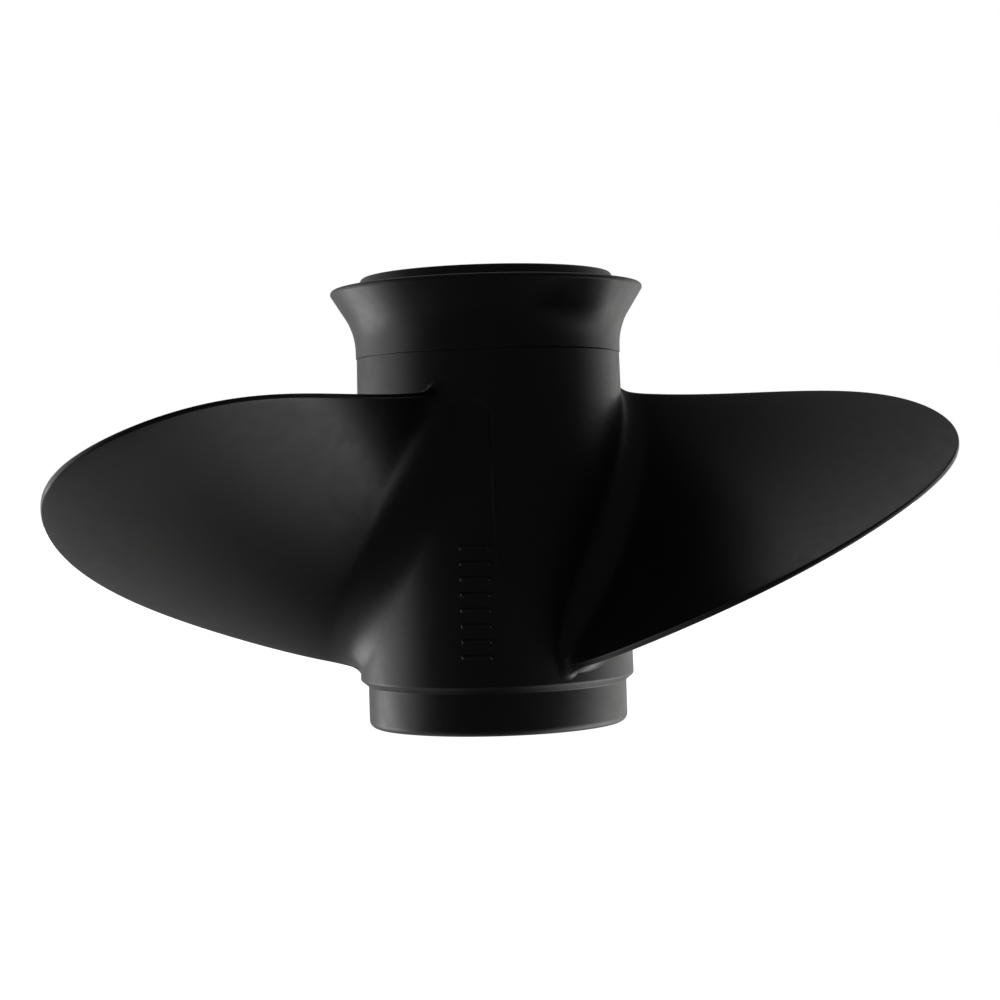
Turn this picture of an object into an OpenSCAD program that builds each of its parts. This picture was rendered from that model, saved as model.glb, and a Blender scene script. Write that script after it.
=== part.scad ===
// Three-bladed, right-hand, through-hub-exhaust boat propeller.
// It stands on its forward collar, so +Z points aft, towards the flared end.
// The origin is on the shaft axis, in the plane of the forward faces.
// A pressed-in rubber bush carries the splined sleeve inside the cast hub.

/* [Propeller] */
// Diameter over the blade tips
prop_d = 285.75; // [260:0.25:320]
// Direction of the first blade's root, in degrees about the shaft axis
first_blade_angle = 333.5; // [0:0.5:360]

/* [Blade] */
// Pitch of the chord line at the hub
root_pitch = 426; // [380:1:480]
// Growth of the pitch from the hub to the tip
pitch_gain = 22; // [0:1:60]
// Width of the blade at the hub
root_w = 94; // [80:1:110]
// How much wider the blade would be at the tip if its sides ran on straight
widening = 30; // [15:1:45]
// How much of that width is drawn in again near the tip
tip_draw_in = 22; // [10:1:30]
// How bluntly the outline is rounded off at the tip
tip_bluntness = 4.25; // [3:0.05:5]
// How far aft the tip leans
tip_rake = 17.5; // [0:0.5:24]
// How far the tip's middle is turned towards the trailing edge, in degrees
tip_skew = 1; // [-4:0.25:6]
// How far the blade's middle bows towards the leading edge half way out, in degrees
mid_sweep = 1.5; // [0:0.25:4]
// Greatest blade thickness at the hub
root_t = 11.5; // [8:0.5:14]
// Greatest blade thickness at the tip
tip_t = 2; // [1.5:0.25:4]
// Height of the middle of the blade's root above the forward face
root_z = 59.3; // [57:0.1:62]
// Thickness of the leading and trailing edges at the root
edge_t = 2.2; // [1.8:0.1:2.6]
// Thickness of the edge at the tip
tip_edge_t = 1.4; // [1:0.1:1.8]
// Depth of the section's camber at the root
camber = 2.5; // [1:0.1:6]
// Radius of the fillet between the blade's faces and the hub
root_fillet = 11; // [6:0.5:14]
// Radius of the fillet at the two ends of the blade's root
end_fillet = 4; // [2:0.5:6]

/* [Hub barrel] */
// Height from the forward face to the aft lip
hub_h = 136.2; // [130:0.1:150]
// Radius of the forward collar that runs in the gearcase
collar_r = 39.3; // [38.5:0.1:40]
// Height of the forward collar
collar_h = 12.5; // [11:0.1:14]
// Radius of the barrel at its forward end
barrel_fore_r = 41.6; // [41:0.1:43]
// Radius of the barrel where the diffuser ring starts
barrel_aft_r = 40; // [39.5:0.05:40.5]
// Radius of the exhaust passage, inside the barrel
passage_r = 34.8; // [34:0.1:35.4]

/* [Diffuser ring] */
// Height at which the ring's seam lies
seam_z = 111.8; // [110:0.1:113]
// Radius of the aft spigot that the ring is pressed on to
spigot_r = 38.7; // [38:0.1:39]
// Radius of the flared rim
rim_r = 47.5; // [46:0.1:49]
// Height at which the rim is widest
rim_z = 131.6; // [131:0.1:133]
// Slope of the flare away from the shaft axis, in degrees
flare_slope = 29; // [26:1:31]

/* [Inner hub] */
// Outer radius of the inner hub
inner_hub_r = 26; // [25:0.1:27]
// Height at which the inner hub starts
inner_hub_z0 = 9; // [8:0.5:12]
// Height at which the inner hub ends
inner_hub_z1 = 106; // [102:0.5:112]
// Radius of the bore that holds the bush
bush_bore_r = 20.5; // [20:0.1:21]
// Thickness of each rib between the inner hub and the barrel
rib_t = 7; // [5:0.5:9]

/* [Bush and sleeve] */
// Outer radius of the splined sleeve
sleeve_r = 14.5; // [14.2:0.1:15]
// Length of the splined sleeve
sleeve_h = 102; // [100:0.5:110]
// Radius of the plain pilot bore at the sleeve's forward end
pilot_r = 12.4; // [12.2:0.05:12.6]
// Length of the pilot bore
pilot_h = 26; // [20:1:30]
// Radius at the bottom of the spline grooves
spline_major_r = 11.6; // [11.4:0.1:11.8]
// Radius at the tips of the spline teeth
spline_minor_r = 10.2; // [10:0.1:10.4]
// Running gap on each side of the rubber, to the sleeve and to the hub
bush_gap = 0.05; // [0.02:0.01:0.09]

/* [Size mark] */
// Height of the raised bars above the barrel
mark_relief = 0.5; // [0.3:0.1:0.8]
// Number of raised bars
mark_bars = 8; // [4:1:10]

/* [Hidden] */

blade_count = 3;
blade_step = 360 / blade_count;
tip_r = prop_d / 2;
cast_black = "#2b2b2a";

// Barrel
edge_round = 2.4;          // rounding of the barrel's two end edges
lip_round = 1.2;           // rounding of the aft lip's outer edge
mouth_chamfer = 1.2;       // chamfer inside both ends
shoulder_h = 1.9;          // height of the bevel between collar and barrel
shoulder_z = collar_h + shoulder_h;
arc_steps = 6;

// Diffuser ring
ring_step = 0.25;          // how far the ring stands out at its seam
ring_plain_h = 2.2;        // plain length before the flare begins
flare_bend_r = 20;         // radius of the bend into the flare
rim_round = 1.1;           // rounding of the rim
ring_face_r = 41.5;        // where the aft face steps down to the spigot
ring_face_drop = 0.8;

// Inner hub, bush and sleeve
bush_lip_r = 17.5;         // bore through the lip that stops the bush
bush_lip_h = 5;
bush_z0 = inner_hub_z0 + bush_lip_h;
bush_z1 = 98;
bush_relief_r = 1.4;       // rounded grooves along the rubber
bush_reliefs = 8;
spline_teeth = 13;
spline_z1 = 94;
aft_bore_r = 12;
sleeve_flange_r = 17;      // thrust flange at the forward end
sleeve_flange_h = 4;
inner_round = 2;

// Blade section
rake_onset = 0.5;          // share of the span over which the lean sets in
fade_w = 40;               // half width below which the camber fades
tip_camber = 0.8;
face_bulge = 0.85;         // exponent of the thickness over the chord
fillet_end_share = 0.35;   // width of the faces' fillet at the root's two ends

// Blade mesh
chord_cells = 18;          // cells across each face of the blade
span_cells = 20;           // cells from the fillet to the tip
fillet_cells = 5;
edge_cells = 3;            // cells round each half of an edge
root_embed = 1.5;          // how deep the blade's foot is cast into the barrel
tip_end = 0.9997;          // share of the rounded outline at which the tip is closed
tiny = 0.001;
blade_h = tip_r - barrel_aft_r;
ring_n = 2 * chord_cells + 4 * edge_cells;

// Size mark
mark_z0 = 22.5;
mark_pitch = 4.5;
bar_h = 1.5;
bar_l = 9;
mark_angle = 262.3;        // direction of the mark, in degrees
mark_sink = 0.6;

function radius_at(z) =
    barrel_fore_r + (barrel_aft_r - barrel_fore_r) * (z - shoulder_z) / (seam_z - shoulder_z);

// Arc points about [x, y], from angle a0 to a1
function arc(x, y, r, a0, a1, n = arc_steps) =
    [for (i = [0:n]) let (a = a0 + (a1 - a0) * i / n) [x + r * cos(a), y + r * sin(a)]];

function pitch_at(x) = root_pitch + pitch_gain * x;
function full_width(x) = root_w + widening * x - tip_draw_in * pow(x, 8);
function half_width(x) = full_width(x) / 2 * sqrt(max(0, 1 - pow(x, tip_bluntness)));
// The lean starts gently at the hub and then runs nearly straight
function rake_at(x) = tip_rake * (1 + rake_onset) * x * x / (x + rake_onset);
function skew_at(x) = tip_skew * x * x - 4 * mid_sweep * x * (1 - x);
function edge_at(x) = edge_t + (tip_edge_t - edge_t) * x;
function thickness(x) = root_t + (tip_t - root_t) * x;
function smooth(x) = let (c = min(1, max(0, x))) c * c * (3 - 2 * c);

// Height of the mean line over the chord, at u from -1 (leading) to 1 (trailing).
// The bow fades out where the tip narrows.
function mean_line(x, u) =
    let (fade = smooth(half_width(x) / fade_w))
    -fade * (camber + (tip_camber - camber) * x) * (1 - u * u);

// Thickness along the chord, greatest in the middle
function thickness_at(x, u) =
    edge_at(x) + (thickness(x) - edge_at(x)) * pow(max(0, 1 - u * u), face_bulge);

// Width of a fillet of radius r, at height d above the barrel
function fillet_at(r, d) = d >= r ? 0 : r - sqrt(r * r - (r - d) * (r - d));

// The faces' fillet narrows towards the two ends of the root
function fillet_share(u) = 1 - (1 - fillet_end_share) * pow(abs(u), 4);

// One section, as [along the chord, across it], around from the leading edge's aft corner.
// face_grow and end_grow are the fillet's width on the faces and at the ends.
function section(x, face_grow, end_grow) =
    let (
        h = half_width(x),
        e = min(edge_at(x) / 2, h),
        inner = max(0.01, h - e),
        us = [for (i = [0:chord_cells]) -cos(180 * i / chord_cells)],
        aft_face = [for (u = us) face_point(x, u, inner, face_grow)],
        fore_face = [for (u = us) face_point(x, -u, inner, -face_grow)],
        corner = edge_at(x) / 2 + face_grow * fillet_end_share,
        trailing = arc_end(inner, e + end_grow, corner, 90),
        leading = arc_end(-inner, e + end_grow, corner, -90)
    ) concat(aft_face, trailing, fore_face, leading);

// Point on a face: the aft one where grow is 0 or more, else the fore one
function face_point(x, u, inner, grow) =
    let (side = grow < 0 ? -1 : 1)
    [u * inner, mean_line(x, u) + side * thickness_at(x, u) / 2 + grow * fillet_share(u)];

// Points round a section's end, between its two corners
function arc_end(at, reach, half_t, a0) =
    [for (k = [1:2 * edge_cells - 1]) let (a = a0 - 90 * k / edge_cells)
        [at + reach * cos(a), half_t * sin(a)]];

// Wraps one section on to the hub: x is the share of the blade's height,
// and sink sets it below the barrel's surface. The fillet stops at the collar's shoulder.
function wrap(x, sink = 0) =
    let (
        rise = x * blade_h,
        r0 = barrel_aft_r + rise,
        slope = atan(pitch_at(x) / (2 * PI * r0)),
        mid_z = root_z + rake_at(x),
        faces = max(tiny, fillet_at(root_fillet, rise)),
        ends = fillet_at(end_fillet, rise)
    )
    [for (p = section(x * tip_end, faces, ends)) let (
        z = max(shoulder_z + 0.1, mid_z + p[0] * sin(slope) + p[1] * cos(slope)),
        foot_r = radius_at(z),
        r = foot_r + rise * (tip_r - foot_r) / blade_h - sink,
        a = skew_at(x) + (p[0] * cos(slope) - p[1] * sin(slope)) / r0 * 180 / PI
    ) [r * cos(a), r * sin(a), z]];

// Closes a ring of points with triangles between its two faces
function cap(first, up) =
    [for (i = [-edge_cells:chord_cells + edge_cells - 1]) let (
        a = first + (i + ring_n) % ring_n,
        b = first + (i + 1 + ring_n) % ring_n,
        c = first + (2 * chord_cells + 2 * edge_cells - i - 1) % ring_n,
        d = first + (2 * chord_cells + 2 * edge_cells - i) % ring_n
    ) each concat(
        b == c ? [] : [up ? [a, b, c] : [a, c, b]],
        a == d ? [] : [up ? [a, c, d] : [a, d, c]]
    )];

module blade_solid() {
    fillet_x = [for (i = [0:fillet_cells - 1]) root_fillet * (1 - cos(90 * i / fillet_cells)) / blade_h];
    x0 = root_fillet / blade_h;
    span_x = [for (i = [0:span_cells]) x0 + (1 - x0) * sin(90 * i / span_cells)];
    rings = concat([wrap(0, root_embed)], [for (x = concat(fillet_x, span_x)) wrap(x)]);
    last = len(rings) - 1;
    points = [for (ring = rings) each ring];
    sides = [for (i = [0:last - 1]) for (j = [0:ring_n - 1]) let (
        a = i * ring_n + j,
        b = i * ring_n + (j + 1) % ring_n
    ) each [[a, b, b + ring_n], [a, b + ring_n, a + ring_n]]];
    polyhedron(points, concat(cap(0, false), sides, cap(last * ring_n, true)), convexity = 6);
}

module blade(i) {
    color(cast_black)
    rotate([0, 0, first_blade_angle + blade_step * i]) blade_solid();
}

module hub_barrel() {
    outside = concat(
        arc(collar_r - edge_round, edge_round, edge_round, -90, 0),
        [[collar_r, collar_h], [barrel_fore_r, shoulder_z], [barrel_aft_r, seam_z], [spigot_r, seam_z]],
        arc(spigot_r - lip_round, hub_h - lip_round, lip_round, 0, 90)
    );
    inside = [
        [passage_r + mouth_chamfer, hub_h], [passage_r, hub_h - mouth_chamfer],
        [passage_r, mouth_chamfer], [passage_r + mouth_chamfer, 0]
    ];
    color(cast_black) rotate_extrude($fn = 96) polygon(concat(outside, inside));
}

// Flared ring pressed on to the barrel's aft spigot
module diffuser_ring() {
    start_r = barrel_aft_r + ring_step;
    bend_z = seam_z + ring_plain_h;
    rim_c = [rim_r - rim_round, rim_z];
    face_z = rim_z + rim_round;
    step_z = face_z - ring_face_drop;
    profile = concat(
        [[spigot_r, seam_z], [start_r, seam_z]],
        arc(start_r + flare_bend_r, bend_z, flare_bend_r, 180, 180 - flare_slope),
        arc(rim_c[0], rim_c[1], rim_round, -flare_slope, 90),
        [[ring_face_r, face_z], [ring_face_r - ring_face_drop, step_z], [spigot_r, step_z]]
    );
    color(cast_black) rotate_extrude($fn = 96) polygon(profile);
}

module inner_hub() {
    z0 = inner_hub_z0;
    z1 = inner_hub_z1;
    profile = concat(
        [[bush_lip_r, z0]],
        arc(inner_hub_r - inner_round, z0 + inner_round, inner_round, -90, 0),
        arc(inner_hub_r - inner_round, z1 - inner_round, inner_round, 0, 90),
        [[bush_bore_r + 1, z1], [bush_bore_r, z1 - 1], [bush_bore_r, bush_z0], [bush_lip_r, bush_z0]]
    );
    color(cast_black) rotate_extrude($fn = 96) polygon(profile);
}

// Straight web between the inner hub and the barrel, under one blade
module rib(i) {
    z0 = inner_hub_z0 + inner_round + 1;
    h = inner_hub_z1 - inner_hub_z0 - 2 * inner_round - 2;
    color(cast_black)
    intersection() {
        rotate([0, 0, first_blade_angle + blade_step * i])
            translate([0, -rib_t / 2, z0]) cube([collar_r, rib_t, h]);
        difference() {
            cylinder(r = passage_r, h = hub_h, $fn = 96);
            translate([0, 0, -1]) cylinder(r = inner_hub_r, h = hub_h + 2, $fn = 96);
        }
    }
}

// Plain raised bars cast on the barrel, one above the other
module size_mark() {
    color(cast_black)
    for (i = [0:mark_bars - 1])
        let (z = mark_z0 + i * mark_pitch)
        intersection() {
            rotate([0, 0, mark_angle])
                translate([passage_r, -bar_l / 2, z]) cube([barrel_fore_r, bar_l, bar_h]);
            difference() {
                cylinder(r = radius_at(z) + mark_relief, h = hub_h, $fn = 96);
                translate([0, 0, -1]) cylinder(r = radius_at(z) - mark_sink, h = hub_h + 2, $fn = 96);
            }
        }
}

// Rubber torsion bush, relieved by rounded grooves along its outside
module rubber_bush() {
    outer = bush_bore_r - bush_gap;
    color("#1c1c1b")
    translate([0, 0, bush_z0 + 0.3])
    difference() {
        cylinder(r = outer, h = bush_z1 - bush_z0, $fn = 96);
        translate([0, 0, -1]) cylinder(r = sleeve_r + bush_gap, h = hub_h, $fn = 96);
        for (i = [0:bush_reliefs - 1])
            rotate([0, 0, 360 * i / bush_reliefs])
                translate([outer + 0.3, 0, -1]) cylinder(r = bush_relief_r, h = hub_h, $fn = 32);
    }
}

// Bronze sleeve with a plain pilot bore, a splined length and a thrust flange
module spline_sleeve() {
    spline_h = spline_z1 - pilot_h + 2;
    color("#b08d57")
    difference() {
        union() {
            cylinder(r = sleeve_r, h = sleeve_h, $fn = 96);
            cylinder(r = sleeve_flange_r, h = sleeve_flange_h, $fn = 96);
        }
        translate([0, 0, -1]) cylinder(r = pilot_r, h = pilot_h + 1, $fn = 96);
        translate([0, 0, pilot_h - 1]) cylinder(r = spline_minor_r, h = spline_h, $fn = 96);
        translate([0, 0, spline_z1]) cylinder(r = aft_bore_r, h = sleeve_h, $fn = 96);
        for (i = [0:spline_teeth - 1])
            rotate([0, 0, 360 * i / spline_teeth]) spline_groove(pilot_h - 1, spline_h);
    }
}

// One groove between two spline teeth
module spline_groove(z, h) {
    w = PI * spline_minor_r / spline_teeth;
    translate([0, 0, z])
        linear_extrude(h)
            polygon([
                [spline_minor_r - 1, -w * 0.62], [spline_major_r, -w * 0.42],
                [spline_major_r, w * 0.42], [spline_minor_r - 1, w * 0.62]
            ]);
}

hub_barrel();
diffuser_ring();
inner_hub();
rib(0);  // rib_1
rib(1);  // rib_2
rib(2);  // rib_3
blade(0);  // blade_1
blade(1);  // blade_2
blade(2);  // blade_3
size_mark();
rubber_bush();
spline_sleeve();
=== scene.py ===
import math

import bmesh
import bpy
from mathutils import Matrix, Vector


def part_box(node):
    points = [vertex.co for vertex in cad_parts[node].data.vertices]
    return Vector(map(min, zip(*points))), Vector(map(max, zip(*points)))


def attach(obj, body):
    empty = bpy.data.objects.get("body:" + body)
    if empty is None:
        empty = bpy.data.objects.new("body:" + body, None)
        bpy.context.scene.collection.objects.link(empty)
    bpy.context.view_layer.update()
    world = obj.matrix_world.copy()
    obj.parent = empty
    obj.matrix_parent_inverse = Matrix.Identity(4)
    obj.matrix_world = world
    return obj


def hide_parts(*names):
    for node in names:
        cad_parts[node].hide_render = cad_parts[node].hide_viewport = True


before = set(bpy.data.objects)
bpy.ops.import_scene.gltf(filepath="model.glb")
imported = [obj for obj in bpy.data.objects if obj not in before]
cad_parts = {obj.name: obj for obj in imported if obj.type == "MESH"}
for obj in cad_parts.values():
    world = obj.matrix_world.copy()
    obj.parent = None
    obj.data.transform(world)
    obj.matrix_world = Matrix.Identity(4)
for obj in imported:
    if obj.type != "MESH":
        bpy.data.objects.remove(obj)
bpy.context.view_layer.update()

# Sizes are in millimetres, as in the CAD model; MM turns them into the scene's metres.
MM = 0.001


def top_of(node):
    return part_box(node)[1][2] / MM


# ---------------------------------------------------------------- driving dimensions
FIRST_BLADE = 333.5
BLADE_STEP = 120.0
ROOT_PITCH = 426.0
PITCH_GAIN = 22.0
ROOT_W = 94.0
WIDENING = 30.0
TIP_DRAW_IN = 22.0
TIP_RAKE = 17.5
RAKE_ONSET = 0.5
TIP_SKEW = 1.0
MID_SWEEP = 1.5
ROOT_T = 11.5
TIP_T = 2.0
TIP_BLUNTNESS = 4.25
ROOT_Z = 59.3
EDGE_T = 2.2
TIP_EDGE_T = 1.4
CAMBER = 2.5
TIP_CAMBER = 0.8
FADE_W = 40.0
FACE_BULGE = 0.85
PRESSURE_FILLET = 8.0
SUCTION_FILLET = 10.5
LEAD_FILLET = 3.5
TRAIL_FILLET = 3.5
END_SHARE = 0.25
EDGE_CORNER = 0.6
# A shade under the CAD model's tip, because the edges here are squarer
TIP_R = 285.75 / 2 - 0.07

COLLAR_R = 39.3
COLLAR_H = 12.5
SHOULDER_Z = 14.4
BARREL_FORE_R = 41.6
BARREL_AFT_R = 40.0
SEAM_Z = 111.8
SPIGOT_R = 38.7
LIP_R = 39.9
PASSAGE_R = 34.8
HUB_H = top_of("hub_barrel")
BLADE_H = TIP_R - BARREL_AFT_R

RIM_R = 47.5
RIM_Z = 131.6
RIM_ROUND = 1.1
FLARE_SLOPE = 29.0
FLARE_BEND_R = 20.0

HUB_R = 26.0
HUB_Z0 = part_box("inner_hub")[0][2] / MM
HUB_Z1 = top_of("inner_hub")
BUSH_BORE_R = 20.5
BUSH_LIP_R = 17.5
BUSH_Z0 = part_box("rubber_bush")[0][2] / MM
BUSH_Z1 = top_of("rubber_bush")
RIB_T = 7.0

SLEEVE_R = 14.5
SLEEVE_H = top_of("spline_sleeve")
FLANGE_R = 17.0
FLANGE_H = 4.0
PILOT_R = 12.4
PILOT_H = 26.0
MAJOR_R = 11.6
MINOR_R = 10.2
TEETH = 13
SPLINE_Z1 = 94.0
AFT_BORE_R = 12.0


# ---------------------------------------------------------------- small maths
def smooth(x):
    c = min(1.0, max(0.0, x))
    return c * c * (3 - 2 * c)


def fillet_at(radius, height):
    """Width of a fillet at a height above the surface that it lands on."""
    if height >= radius:
        return 0.0
    return radius - math.sqrt(max(0.0, radius * radius - (radius - height) ** 2))


def radius_at(z):
    """The barrel's tapered outside."""
    return BARREL_FORE_R + (BARREL_AFT_R - BARREL_FORE_R) * (z - SHOULDER_Z) / (SEAM_Z - SHOULDER_Z)


def rounded_profile(corners, steps=5):
    """Turns (r, z, rounding) corners of a closed outline into points, each corner an arc."""
    points = []
    n = len(corners)
    for i, (r, z, rounding) in enumerate(corners):
        here = Vector((r, z))
        if rounding <= 0:
            points.append((r, z))
            continue
        before = Vector(corners[i - 1][:2]) - here
        after = Vector(corners[(i + 1) % n][:2]) - here
        a = before.normalized()
        b = after.normalized()
        angle = a.angle(b)
        if angle > math.pi - 0.02:
            points.append((r, z))
            continue
        reach = rounding / math.tan(angle / 2)
        reach = min(reach, before.length * 0.48, after.length * 0.48)
        radius = reach * math.tan(angle / 2)
        centre = here + (a + b).normalized() * (radius / math.sin(angle / 2))
        start = here + a * reach - centre
        turn = start.angle_signed(here + b * reach - centre)
        for k in range(steps + 1):
            t = -turn * k / steps
            c = math.cos(t)
            s = math.sin(t)
            points.append((centre.x + start.x * c - start.y * s, centre.y + start.x * s + start.y * c))
    return points


# ---------------------------------------------------------------- mesh helpers
def new_object(name, verts, faces, sharp=40.0):
    mesh = bpy.data.meshes.new(name)
    mesh.from_pydata([tuple(c * MM for c in v) for v in verts], [], faces)
    bm = bmesh.new()
    bm.from_mesh(mesh)
    bmesh.ops.remove_doubles(bm, verts=bm.verts, dist=1e-7)
    bmesh.ops.recalc_face_normals(bm, faces=bm.faces)
    bm.to_mesh(mesh)
    bm.free()
    mesh.shade_smooth()
    mesh.set_sharp_from_angle(angle=math.radians(sharp))
    obj = bpy.data.objects.new(name, mesh)
    bpy.context.collection.objects.link(obj)
    return obj


def loft(name, rings, wrap=False, caps=False, sharp=40.0):
    """Skins rings of equally many points; wrap joins the last ring to the first one."""
    n = len(rings[0])
    verts = [p for ring in rings for p in ring]
    faces = []
    count = len(rings)
    for i in range(count if wrap else count - 1):
        k = (i + 1) % count
        for j in range(n):
            m = (j + 1) % n
            faces.append((i * n + j, i * n + m, k * n + m, k * n + j))
    if caps:
        faces.append(tuple(range(n)))
        faces.append(tuple(range((count - 1) * n, count * n)))
    return new_object(name, verts, faces, sharp)


def revolve(name, profile, segments=256, sharp=40.0):
    """Turns a closed (r, z) outline round the shaft axis."""
    rings = []
    for r, z in profile:
        ring = []
        for j in range(segments):
            a = 2 * math.pi * j / segments
            ring.append((r * math.cos(a), r * math.sin(a), z))
        rings.append(ring)
    return loft(name, rings, wrap=True, sharp=sharp)


def turned(points, degrees):
    c = math.cos(math.radians(degrees))
    s = math.sin(math.radians(degrees))
    return [(c * x - s * y, s * x + c * y, z) for x, y, z in points]


# ---------------------------------------------------------------- blades
CHORD_CELLS = 56
EDGE_CELLS = 8
SPAN_CELLS = 76
FILLET_CELLS = 14
SKIRT = 0.6
SKIRT_SINK = 0.03
FOOT_SINK = 1.2


def half_width(x):
    full = ROOT_W + WIDENING * x - TIP_DRAW_IN * x ** 8
    return full / 2 * math.sqrt(max(0.0, 1 - x ** TIP_BLUNTNESS))


def rake_at(x):
    return TIP_RAKE * (1 + RAKE_ONSET) * x * x / (x + RAKE_ONSET)


def skew_at(x):
    return math.radians(TIP_SKEW * x * x - 4 * MID_SWEEP * x * (1 - x))


def mean_line(x, u):
    fade = smooth(half_width(x) / FADE_W)
    return -fade * (CAMBER + (TIP_CAMBER - CAMBER) * x) * (1 - u * u)


def fillet_share(u, side):
    """The faces' fillets narrow towards the ends of the root, latest under the leading edge."""
    lateness = 9 if side < 0 and u < 0 else 4
    return 1 - (1 - END_SHARE) * abs(u) ** lateness


def blade_section(x, rise, skirt, shrink):
    """Points round one section, as (along the chord, across it), from the leading edge.
    The edges are flat bands with small rounded corners; shrink draws the faces together."""
    edge = (EDGE_T + (TIP_EDGE_T - EDGE_T) * x) / 2
    h = half_width(x)
    corner = min(EDGE_CORNER, h)
    inner = h - corner
    body = (ROOT_T + (TIP_T - ROOT_T) * x) / 2 - edge
    pressure = fillet_at(PRESSURE_FILLET, rise) + skirt
    suction = fillet_at(SUCTION_FILLET, rise) + skirt

    def half_t(u, side):
        grow = (pressure if side > 0 else suction) * fillet_share(u, side)
        return edge + body * max(0.0, 1 - u * u) ** FACE_BULGE + grow - shrink

    def face(u, side):
        return (u * inner, mean_line(x, u) + side * half_t(u, side))

    def end(side, fillet):
        reach = corner + fillet_at(fillet, rise) + skirt
        points = []
        for face_side in (side, -side):
            top = half_t(side, face_side)
            drop = min(reach, top)
            arc = []
            for k in range(1, EDGE_CELLS):
                a = math.pi / 2 * k / (EDGE_CELLS - 1)
                along = side * (inner + reach * math.sin(a))
                arc.append((along, face_side * (top - drop * (1 - math.cos(a)))))
            points += arc if face_side == side else [(side * (inner + reach), 0.0)] + arc[::-1]
        return points

    us = [-math.cos(math.pi * i / CHORD_CELLS) for i in range(CHORD_CELLS + 1)]
    pressure_face = [face(u, 1) for u in us]
    suction_face = [face(-u, -1) for u in us]
    return pressure_face + end(1, TRAIL_FILLET) + suction_face + end(-1, LEAD_FILLET)


def blade_ring(rise, skirt=0.0, sink=0.0):
    """One section wrapped on to the cylinder that stands rise above the barrel."""
    x = rise / BLADE_H
    r0 = BARREL_AFT_R + rise
    slope = math.atan((ROOT_PITCH + PITCH_GAIN * x) / (2 * math.pi * r0))
    mid_z = ROOT_Z + rake_at(x)
    ring = []
    for s, n in blade_section(x, rise, skirt, fillet_at(EDGE_CORNER, BLADE_H - rise)):
        z = max(SHOULDER_Z + 0.1, mid_z + s * math.sin(slope) + n * math.cos(slope))
        foot = radius_at(z)
        r = foot + rise * (TIP_R - foot) / BLADE_H - sink
        a = skew_at(x) + (s * math.cos(slope) - n * math.sin(slope)) / r0
        ring.append((r * math.cos(a), r * math.sin(a), z))
    return ring


def make_blade(index):
    rings = [blade_ring(0, SKIRT, FOOT_SINK), blade_ring(0, SKIRT, SKIRT_SINK)]
    deepest = max(PRESSURE_FILLET, SUCTION_FILLET)
    for i in range(FILLET_CELLS):
        rings.append(blade_ring(deepest * (1 - math.cos(math.pi / 2 * i / FILLET_CELLS))))
    for i in range(SPAN_CELLS + 1):
        rings.append(blade_ring(deepest + (BLADE_H - deepest) * math.sin(math.pi / 2 * i / SPAN_CELLS)))
    rings = [turned(ring, FIRST_BLADE + BLADE_STEP * index) for ring in rings]
    blade = loft("blade_%d_cast" % (index + 1), rings, sharp=60)
    close_holes(blade)
    return blade


def close_holes(obj):
    bm = bmesh.new()
    bm.from_mesh(obj.data)
    open_edges = [e for e in bm.edges if e.is_boundary]
    if open_edges:
        bmesh.ops.holes_fill(bm, edges=open_edges, sides=0)
    bmesh.ops.recalc_face_normals(bm, faces=bm.faces)
    bm.to_mesh(obj.data)
    bm.free()


# ---------------------------------------------------------------- hub
def make_barrel():
    corners = [
        (COLLAR_R, 0, 2.4), (COLLAR_R, COLLAR_H, 0.5), (BARREL_FORE_R, SHOULDER_Z, 1.0),
        (BARREL_AFT_R, SEAM_Z, 0.2), (SPIGOT_R, SEAM_Z, 0),
        (SPIGOT_R, RIM_Z + 0.32, 0), (LIP_R, RIM_Z + 0.36, 0.3),
        (LIP_R - 0.7, RIM_Z + 2.2, 1), (LIP_R - 2.0, HUB_H, 1),
        (PASSAGE_R, HUB_H, 1.2), (PASSAGE_R, 0, 1.2),
    ]
    return revolve("barrel_cast", rounded_profile(corners))


def make_ring():
    start_r = BARREL_AFT_R + 0.25
    bend_z = SEAM_Z + 2.2
    profile = [(SPIGOT_R, SEAM_Z + 0.02), (start_r - 0.2, SEAM_Z + 0.02), (start_r, SEAM_Z + 0.25)]
    for i in range(17):
        a = math.radians(FLARE_SLOPE * i / 16)
        profile.append((start_r + FLARE_BEND_R * (1 - math.cos(a)), bend_z + FLARE_BEND_R * math.sin(a)))
    for i in range(13):
        a = math.radians(-FLARE_SLOPE + (90 + FLARE_SLOPE) * i / 12)
        profile.append((RIM_R - RIM_ROUND * (1 - math.cos(a)), RIM_Z + RIM_ROUND * math.sin(a)))
    top = RIM_Z + RIM_ROUND
    profile += [(42.0, top), (41.6, top - 0.1), (41.0, top - 0.7)]
    profile += [(40.6, top - 0.8), (SPIGOT_R, top - 0.8)]
    return revolve("diffuser_ring_pressed", profile)


def make_inner_hub():
    corners = [
        (HUB_R, HUB_Z0, 2), (HUB_R, HUB_Z1, 2), (BUSH_BORE_R, HUB_Z1, 0.9),
        (BUSH_BORE_R, BUSH_Z0 - 0.3, 0.4), (BUSH_LIP_R, BUSH_Z0 - 0.3, 0.6), (BUSH_LIP_R, HUB_Z0, 0.8),
    ]
    return revolve("inner_hub_cast", rounded_profile(corners))


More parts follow.
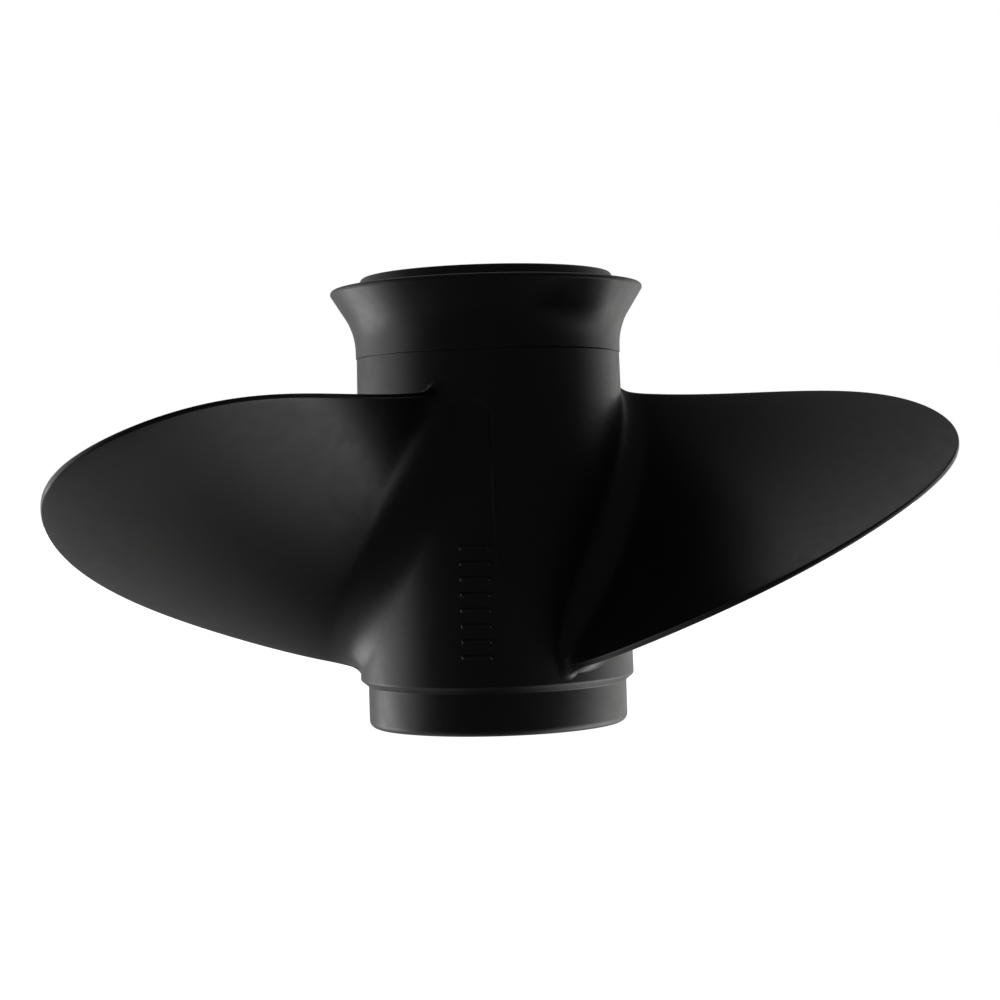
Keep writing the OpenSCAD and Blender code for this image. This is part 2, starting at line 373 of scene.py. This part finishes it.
def make_rib(index):
    """A straight web whose sides swell into both tubes, with rounded ends."""
    web_fillet = 3.0
    overlap = 0.4
    z0 = HUB_Z0 + 3
    z1 = HUB_Z1 - 3
    nose = RIB_T / 2
    steps = 28
    r0 = HUB_R - overlap
    r1 = PASSAGE_R + overlap
    rings = []
    for k in range(19):
        a = math.pi * k / 18
        share = math.sin(a)
        z = z0 + nose * (1 - math.cos(a)) if k <= 9 else z1 - nose * (1 + math.cos(a))
        ring = []
        for side in (1, -1):
            for i in range(steps + 1):
                t = i / steps if side > 0 else 1 - i / steps
                r = r0 + (r1 - r0) * t
                swell = fillet_at(web_fillet, max(0, r - HUB_R))
                swell += fillet_at(web_fillet, max(0, PASSAGE_R - r))
                half_t = nose * share + swell
                lift = 0.0
                if k < 9:
                    lift = -swell
                if k > 9:
                    lift = swell
                ring.append((r, side * half_t, z + lift * abs(math.cos(a))))
        rings.append(turned(ring, FIRST_BLADE + BLADE_STEP * index))
    return loft("rib_%d_cast" % (index + 1), rings, caps=True, sharp=60)


# ---------------------------------------------------------------- details on the barrel
def on_barrel(angle, z, height):
    r = radius_at(z) + height
    a = math.radians(angle)
    return (r * math.cos(a), r * math.sin(a), z)


# The mould's parting line leaves a blade's trailing edge level, rounds a corner and runs
# down to the next blade's leading edge. Angles are in degrees from the blade's direction.
PARTING_START = 31.5
PARTING_TURN = 57.0
PARTING_END = 59.5
PARTING_TOP = 98.5
PARTING_FOOT = 20.0
PARTING_CORNER = 6.0
PARTING_RIDGE = 0.7
PARTING_HALF_W = 2.2


def parting_path():
    """Points along the line, as (degrees, height, height of the ridge, half width)."""
    corner_deg = math.degrees(PARTING_CORNER / radius_at(PARTING_TOP))
    turn_z = PARTING_TOP - PARTING_CORNER
    path = []
    for k in range(60):
        t = k / 60
        angle = PARTING_START + (PARTING_TURN - corner_deg - PARTING_START) * t
        path.append((angle, PARTING_TOP, PARTING_RIDGE, PARTING_HALF_W))
    for k in range(24):
        a = math.pi / 2 * k / 24
        angle = PARTING_TURN - corner_deg * (1 - math.sin(a))
        z = PARTING_TOP - PARTING_CORNER * (1 - math.cos(a))
        path.append((angle, z, PARTING_RIDGE - 0.2 * k / 24, PARTING_HALF_W - 1.2 * k / 24))
    for k in range(61):
        t = k / 60
        angle = PARTING_TURN + (PARTING_END - PARTING_TURN) * t
        ridge = (PARTING_RIDGE - 0.2) * (1 - smooth(t)) + 0.03
        path.append((angle, turn_z + (PARTING_FOOT - turn_z) * t, ridge, PARTING_HALF_W - 1.2))
    return path


def make_parting_line(index):
    base = FIRST_BLADE + BLADE_STEP * index
    path = parting_path()
    cells = 14
    rings = []
    for i, (angle, z, height, half_w) in enumerate(path):
        before = path[max(0, i - 1)]
        after = path[min(len(path) - 1, i + 1)]
        r = radius_at(z)
        da = math.radians(after[0] - before[0]) * r
        dz = after[1] - before[1]
        length = math.hypot(da, dz)
        across_a = -dz / length
        across_z = da / length
        ring = []
        for k in range(2 * cells + 2):
            w = -1 + 2 * k / cells if k <= cells else -1 + 2 * (2 * cells + 1 - k) / cells
            ridge = height * (0.5 + 0.5 * math.cos(math.pi * w)) - 0.02 * abs(w) ** 3
            lift = ridge if k <= cells else -0.5
            off = w * half_w
            turn = math.degrees(off * across_a / r)
            ring.append(on_barrel(base + angle + turn, z + off * across_z, lift))
        rings.append(ring)
    return loft("parting_line_%d" % (index + 1), rings, caps=True, sharp=60)


MARK_ANGLE = 262.3
MARK_RELIEF = 0.45
MARK_BARS = 8
BAR_L = 9.0
# A bar's height as a share of the step from bar to bar
BAR_SHARE = 0.34


def make_size_mark():
    """Plain raised bars, each a low pillow with steep, softened flanks."""
    low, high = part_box("size_mark")
    pitch = (high[2] - low[2]) / MM / (MARK_BARS - 1 + BAR_SHARE)
    bar_h = pitch * BAR_SHARE
    verts = []
    faces = []
    across = 30
    along = 12
    for b in range(MARK_BARS):
        z0 = low[2] / MM + b * pitch + bar_h / 2
        first = len(verts)
        for i in range(across + 1):
            for j in range(along + 1):
                p = -1 + 2 * i / across
                q = -1 + 2 * j / along
                flank = smooth((1 - abs(p)) * BAR_L / 2 / 0.5) * smooth((1 - abs(q)) * bar_h / 2 / 0.5)
                z = z0 + q * bar_h / 2
                a = MARK_ANGLE + math.degrees(p * BAR_L / 2 / radius_at(z))
                verts.append(on_barrel(a, z, MARK_RELIEF * flank - 0.02))
        for i in range(across):
            for j in range(along):
                a = first + i * (along + 1) + j
                faces.append((a, a + 1, a + along + 2, a + along + 1))
    mark = new_object("size_mark_bars", verts, faces, sharp=60)
    solid = mark.modifiers.new("thickness", "SOLIDIFY")
    solid.thickness = 0.4 * MM
    solid.offset = -1
    return mark


# ---------------------------------------------------------------- bush and sleeve
def ring_of(radius_of, z, count):
    ring = []
    for j in range(count):
        a = 2 * math.pi * j / count
        r = radius_of(a)
        ring.append((r * math.cos(a), r * math.sin(a), z))
    return ring


def make_bush():
    reliefs = 8
    groove_r = 1.4
    outer = BUSH_BORE_R - 0.05
    inner = SLEEVE_R + 0.05
    count = reliefs * 36

    def outside(drop):
        def radius(a):
            step = 2 * math.pi / reliefs
            away = abs((a + step / 2) % step - step / 2) * outer
            dip = math.sqrt(max(0, groove_r ** 2 - away ** 2)) - 0.3 if away < groove_r else 0
            return outer - max(0, dip) - drop
        return radius

    z0 = BUSH_Z0
    z1 = BUSH_Z1
    rings = []
    for i in range(5):
        a = math.pi / 2 * i / 4
        rings.append(ring_of(outside(0.8 * (1 - math.sin(a))), z0 + 0.8 * (1 - math.cos(a)), count))
    for i in range(5):
        a = math.pi / 2 * i / 4
        rings.append(ring_of(outside(0.8 * (1 - math.cos(a))), z1 - 0.8 * (1 - math.sin(a)), count))
    # the end face sinks a little between hub and sleeve, as squeezed rubber does
    for t, sink in ((0.3, 0.9), (0.55, 1.3), (0.8, 1.0)):
        r = outer - 2.2 + (inner + 1.0 - outer + 2.2) * t
        rings.append(ring_of(lambda a, r=r: r, z1 - sink, count))
    rings.append(ring_of(lambda a: inner, z1 - 0.4, count))
    rings.append(ring_of(lambda a: inner, z0 + 0.4, count))
    return loft("rubber_bush_moulded", rings, wrap=True, sharp=50)


def make_sleeve():
    per_tooth = 24
    count = TEETH * per_tooth

    def spline(minor):
        def radius(a):
            step = 2 * math.pi / TEETH
            away = abs((a + step / 2) % step - step / 2) / (step / 2)
            groove = 1 - smooth((away - 0.42) / 0.2)
            return minor + (max(minor, MAJOR_R) - minor) * groove
        return radius

    def plain(r):
        return lambda a: r

    rows = [
        (plain(FLANGE_R - 0.5), 0), (plain(FLANGE_R), 0.5), (plain(FLANGE_R), FLANGE_H - 0.4),
        (plain(FLANGE_R - 0.4), FLANGE_H), (plain(SLEEVE_R + 0.6), FLANGE_H),
        (plain(SLEEVE_R), FLANGE_H + 0.6),
        (plain(SLEEVE_R), SLEEVE_H - 0.8), (plain(SLEEVE_R - 0.8), SLEEVE_H),
        (plain(AFT_BORE_R + 0.6), SLEEVE_H), (plain(AFT_BORE_R), SLEEVE_H - 0.6),
        (plain(AFT_BORE_R), SPLINE_Z1), (plain(MAJOR_R + 0.1), SPLINE_Z1),
        (spline(MAJOR_R - 0.2), SPLINE_Z1 - 0.1), (spline(MINOR_R), SPLINE_Z1 - 1.2),
        (spline(MINOR_R), PILOT_H + 1.2), (spline(MAJOR_R - 0.2), PILOT_H + 0.1),
        (plain(MAJOR_R + 0.1), PILOT_H), (plain(PILOT_R), PILOT_H), (plain(PILOT_R), 0),
    ]
    rings = [ring_of(radius, z, count) for radius, z in rows]
    return loft("spline_sleeve_machined", rings, wrap=True, sharp=35)


# ---------------------------------------------------------------- materials
def node_material(name):
    mat = bpy.data.materials.new(name)
    mat.use_nodes = True
    tree = mat.node_tree
    shader = next(n for n in tree.nodes if n.type == "BSDF_PRINCIPLED")
    return mat, tree, shader


def object_coords(tree):
    return tree.nodes.new("ShaderNodeTexCoord").outputs["Object"]


def noise(tree, vector, scale, detail=3.0, rough=0.5):
    node = tree.nodes.new("ShaderNodeTexNoise")
    tree.links.new(vector, node.inputs["Vector"])
    node.inputs["Scale"].default_value = scale
    node.inputs["Detail"].default_value = detail
    node.inputs["Roughness"].default_value = rough
    return node.outputs["Fac"]


def spread(tree, value, low, high, start=0.35, stop=0.65):
    node = tree.nodes.new("ShaderNodeMapRange")
    tree.links.new(value, node.inputs["Value"])
    node.inputs["From Min"].default_value = start
    node.inputs["From Max"].default_value = stop
    node.inputs["To Min"].default_value = low
    node.inputs["To Max"].default_value = high
    return node.outputs["Result"]


def mixed(tree, fac, dark, light):
    node = tree.nodes.new("ShaderNodeMix")
    node.data_type = "RGBA"
    tree.links.new(fac, node.inputs["Factor"])
    node.inputs["A"].default_value = (*dark, 1)
    node.inputs["B"].default_value = (*light, 1)
    return node.outputs["Result"]


def bump(tree, height, strength, distance, normal=None):
    node = tree.nodes.new("ShaderNodeBump")
    tree.links.new(height, node.inputs["Height"])
    node.inputs["Strength"].default_value = strength
    node.inputs["Distance"].default_value = distance
    if normal is not None:
        tree.links.new(normal, node.inputs["Normal"])
    return node.outputs["Normal"]


def black_paint(name, roughness=0.36):
    """Satin black coating on a fine casting: soft orange peel, faint mottling of the gloss."""
    mat, tree, shader = node_material(name)
    where = object_coords(tree)
    mottling = noise(tree, where, 45, 4)
    colour = mixed(tree, spread(tree, mottling, 0, 1), (0.0060, 0.0058, 0.0057), (0.0090, 0.0087, 0.0084))
    tree.links.new(colour, shader.inputs["Base Color"])
    gloss = spread(tree, noise(tree, where, 260, 5, 0.6), roughness - 0.03, roughness + 0.03)
    tree.links.new(gloss, shader.inputs["Roughness"])
    peel = bump(tree, noise(tree, where, 1500, 2), 0.12, 0.00004)
    cast = bump(tree, noise(tree, where, 260, 3), 0.10, 0.00008, peel)
    tree.links.new(cast, shader.inputs["Normal"])
    shader.inputs["Specular IOR Level"].default_value = 0.5
    return mat


def black_rubber():
    mat, tree, shader = node_material("bush_rubber")
    where = object_coords(tree)
    bloom = spread(tree, noise(tree, where, 120, 5, 0.6), 0, 1)
    colour = mixed(tree, bloom, (0.014, 0.014, 0.014), (0.03, 0.029, 0.028))
    tree.links.new(colour, shader.inputs["Base Color"])
    tree.links.new(spread(tree, bloom, 0.62, 0.78, 0, 1), shader.inputs["Roughness"])
    tree.links.new(bump(tree, noise(tree, where, 900, 3), 0.3, 0.00008), shader.inputs["Normal"])
    return mat


def machined_bronze():
    """Turned bronze: fine rings round the axis and a slight tarnish."""
    mat, tree, shader = node_material("sleeve_bronze")
    where = object_coords(tree)
    tarnish = spread(tree, noise(tree, where, 90, 5, 0.6), 0, 1)
    colour = mixed(tree, tarnish, (0.46, 0.29, 0.13), (0.62, 0.43, 0.22))
    tree.links.new(colour, shader.inputs["Base Color"])
    shader.inputs["Metallic"].default_value = 1.0
    tree.links.new(spread(tree, tarnish, 0.32, 0.24, 0, 1), shader.inputs["Roughness"])
    split = tree.nodes.new("ShaderNodeMapping")
    tree.links.new(where, split.inputs["Vector"])
    split.inputs["Scale"].default_value = (40, 40, 5200)
    lathe = noise(tree, split.outputs["Vector"], 1, 2)
    tree.links.new(bump(tree, lathe, 0.25, 0.00003), shader.inputs["Normal"])
    return mat


# ---------------------------------------------------------------- the object
def place(piece, body, slot, material, *nodes):
    piece.data.materials.clear()
    piece.data.materials.append(material)
    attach(piece, body)
    if nodes:
        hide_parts(*nodes)


CAST = black_paint("black_casting")
RING = black_paint("black_ring")
place(make_barrel(), "bladed_hub", "black_casting", CAST, "hub_barrel")
place(make_ring(), "bladed_hub", "black_ring", RING, "diffuser_ring")
place(make_inner_hub(), "bladed_hub", "black_casting", CAST, "inner_hub")
for i in range(3):
    place(make_blade(i), "bladed_hub", "black_casting", CAST, "blade_%d" % (i + 1))
    place(make_rib(i), "bladed_hub", "black_casting", CAST, "rib_%d" % (i + 1))
    place(make_parting_line(i), "bladed_hub", "black_casting", CAST)
place(make_size_mark(), "bladed_hub", "black_casting", CAST, "size_mark")
place(make_bush(), "bush", "bush_rubber", black_rubber(), "rubber_bush")
place(make_sleeve(), "shaft_sleeve", "sleeve_bronze", machined_bronze(), "spline_sleeve")


# ---------------------------------------------------------------- floor, light and camera
# The studio's glowing panels: degrees away from straight behind the object, degrees
# round the line of sight (0 right, 90 up), angular radius, and strength
PANELS = (
    (0, 0, 60, 0.35),
    (75, 180, 30, 1.2),
    (80, 320, 30, 1.5),
    (55, 350, 30, 0.75),
    (75, 230, 30, 0.35),
)
FILL = 0.06
DOME_R = 2.0
STUDIO_CENTRE = Vector((0, 0, 0.065))


def studio_direction(away, clock):
    a = math.radians(away)
    c = math.radians(clock)
    return Vector((math.sin(a) * math.cos(c), math.cos(a), math.sin(a) * math.sin(c)))


def glow_towards(direction):
    total = FILL
    for away, clock, radius, strength in PANELS:
        angle = math.degrees(direction.angle(studio_direction(away, clock)))
        total += strength * smooth(1.5 - angle / radius)
    return total


def make_floor():
    half = 6.0
    mesh = bpy.data.meshes.new("floor")
    corners = [(-half, -half, 0), (half, -half, 0), (half, half, 0), (-half, half, 0)]
    mesh.from_pydata([(x, y, -0.0002) for x, y, _ in corners], [], [(0, 1, 2, 3)])
    floor = bpy.data.objects.new("floor", mesh)
    bpy.context.collection.objects.link(floor)
    mat, tree, shader = node_material("pale_floor")
    shader.inputs["Base Color"].default_value = (0.86, 0.86, 0.86, 1)
    shader.inputs["Roughness"].default_value = 0.9
    shader.inputs["Specular IOR Level"].default_value = 0.0
    shader.inputs["Emission Color"].default_value = (1, 1, 1, 1)
    shader.inputs["Emission Strength"].default_value = 1.0
    mesh.materials.append(mat)
    floor.visible_glossy = False
    floor.visible_diffuse = False
    floor.visible_shadow = False


def make_studio():
    """A dome round the object that only reflections and shading see."""
    rows, columns = 60, 96
    verts = []
    glow = []
    for i in range(rows + 1):
        for j in range(columns):
            direction = studio_direction(0.01 + 179.98 * i / rows, 360 * j / columns)
            verts.append(STUDIO_CENTRE + direction * DOME_R)
            glow.append(glow_towards(direction))
    faces = []
    for i in range(rows):
        for j in range(columns):
            k = (j + 1) % columns
            faces.append((i * columns + j, i * columns + k, (i + 1) * columns + k, (i + 1) * columns + j))
    mesh = bpy.data.meshes.new("studio")
    mesh.from_pydata(verts, [], faces)
    attribute = mesh.attributes.new("glow", "FLOAT", "POINT")
    attribute.data.foreach_set("value", glow)
    mesh.shade_smooth()
    dome = bpy.data.objects.new("studio", mesh)
    bpy.context.collection.objects.link(dome)
    mat, tree, shader = node_material("studio_panels")
    shader.inputs["Base Color"].default_value = (0, 0, 0, 1)
    shader.inputs["Specular IOR Level"].default_value = 0.0
    shader.inputs["Emission Color"].default_value = (1, 0.985, 0.975, 1)
    source = tree.nodes.new("ShaderNodeAttribute")
    source.attribute_name = "glow"
    tree.links.new(source.outputs["Fac"], shader.inputs["Emission Strength"])
    mesh.materials.append(mat)
    dome.visible_camera = False


def softbox(name, away, clock, diameter, radiance):
    """A round soft light that hangs just inside the dome."""
    light = bpy.data.lights.new(name, "AREA")
    light.shape = "DISK"
    light.size = diameter
    light.energy = radiance * math.pi * math.pi * diameter ** 2 / 4
    lamp = bpy.data.objects.new(name, light)
    bpy.context.collection.objects.link(lamp)
    direction = studio_direction(away, clock)
    lamp.location = STUDIO_CENTRE + direction * DOME_R * 0.8
    lamp.rotation_mode = "QUATERNION"
    lamp.rotation_quaternion = (-direction).to_track_quat("-Z", "Y")
    lamp.visible_camera = False


def make_lights():
    world = bpy.data.worlds.new("white_surroundings")
    bpy.context.scene.world = world
    world.use_nodes = True
    background = world.node_tree.nodes["Background"]
    background.inputs["Color"].default_value = (1, 1, 1, 1)
    background.inputs["Strength"].default_value = 1.0
    softbox("left_softbox", 65, 205, 0.9, 2.0)
    softbox("low_right_softbox", 80, 320, 1.0, 1.2)


def make_camera():
    distance = 0.647
    tilt = math.radians(0.23)
    roll = math.radians(1.71)
    side = 0.0023
    rise = 0.0030
    aim = Vector((0, 0, 0.065))
    forward = Vector((0, math.cos(tilt), -math.sin(tilt)))
    level_up = Vector((0, math.sin(tilt), math.cos(tilt)))
    right = Vector((1, 0, 0)) * math.cos(roll) - level_up * math.sin(roll)
    up = Vector((1, 0, 0)) * math.sin(roll) + level_up * math.cos(roll)
    data = bpy.data.cameras.new("camera")
    data.sensor_width = 36
    data.lens = 76.24
    data.clip_start = 0.05
    data.clip_end = 50
    camera = bpy.data.objects.new("camera", data)
    bpy.context.collection.objects.link(camera)
    pose = Matrix((right, up, -forward)).transposed().to_4x4()
    pose.translation = aim + right * side + up * rise - forward * distance
    camera.matrix_world = pose
    bpy.context.scene.camera = camera


make_floor()
make_studio()
make_lights()
make_camera()
bpy.context.scene.view_settings.view_transform = "Standard"
